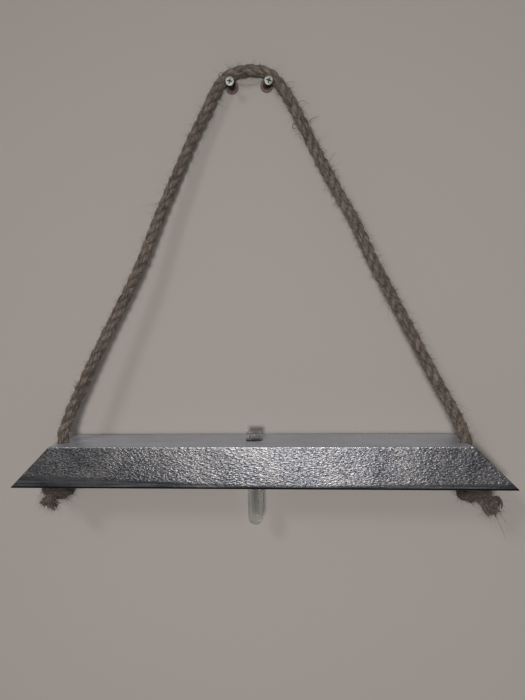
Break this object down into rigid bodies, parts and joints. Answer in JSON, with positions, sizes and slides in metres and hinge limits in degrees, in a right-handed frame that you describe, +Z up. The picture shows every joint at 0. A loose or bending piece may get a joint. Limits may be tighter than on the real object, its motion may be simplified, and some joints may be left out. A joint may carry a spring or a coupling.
{
  "type": "hanging rope shelf",
  "caption": "Painted timber beam with mitred ends, hung on a rope that is knotted under holes near its ends and lies over wall screws; a glass test tube stands in a hole at mid-length.",
  "frame": {"origin": "on the wall's face, midway between the points where the two screws enter it", "axes": "+Z up, +Y into the wall, +X to the right as seen from the room"},
  "size_m": [0.5, 0.1062, 0.4871],
  "materials": {
    "beam_paint": "rough-sawn timber painted metallic dark grey",
    "jute": "three-strand natural jute, hairy",
    "glass": "clear laboratory glass",
    "zinc": "bright zinc plate",
    "brown_plastic": "moulded brown plastic"
  },
  "bodies": {
    "wall_fixings": {"screw_left": "zinc", "screw_right": "zinc", "wall_plug_left": "brown_plastic", "wall_plug_right": "brown_plastic"},
    "shelf": {"shelf_beam": "beam_paint", "rope_hanger": "jute", "knot_left": "jute", "knot_right": "jute", "frayed_end_left": "jute", "frayed_end_right": "jute"},
    "tube": {"test_tube": "glass"}
  },
  "joints": [
    {"name": "swing_out", "type": "hinge", "parent": "wall_fixings", "child": "shelf", "pos_m": [0, -0.0105, 0.001], "axis": [-1, 0, 0], "range_deg": [0, 12]},
    {"name": "tube_lift", "type": "slide", "parent": "shelf", "child": "tube", "axis": [0, 0, 1], "range_m": [0, 0.1]}
  ]
}
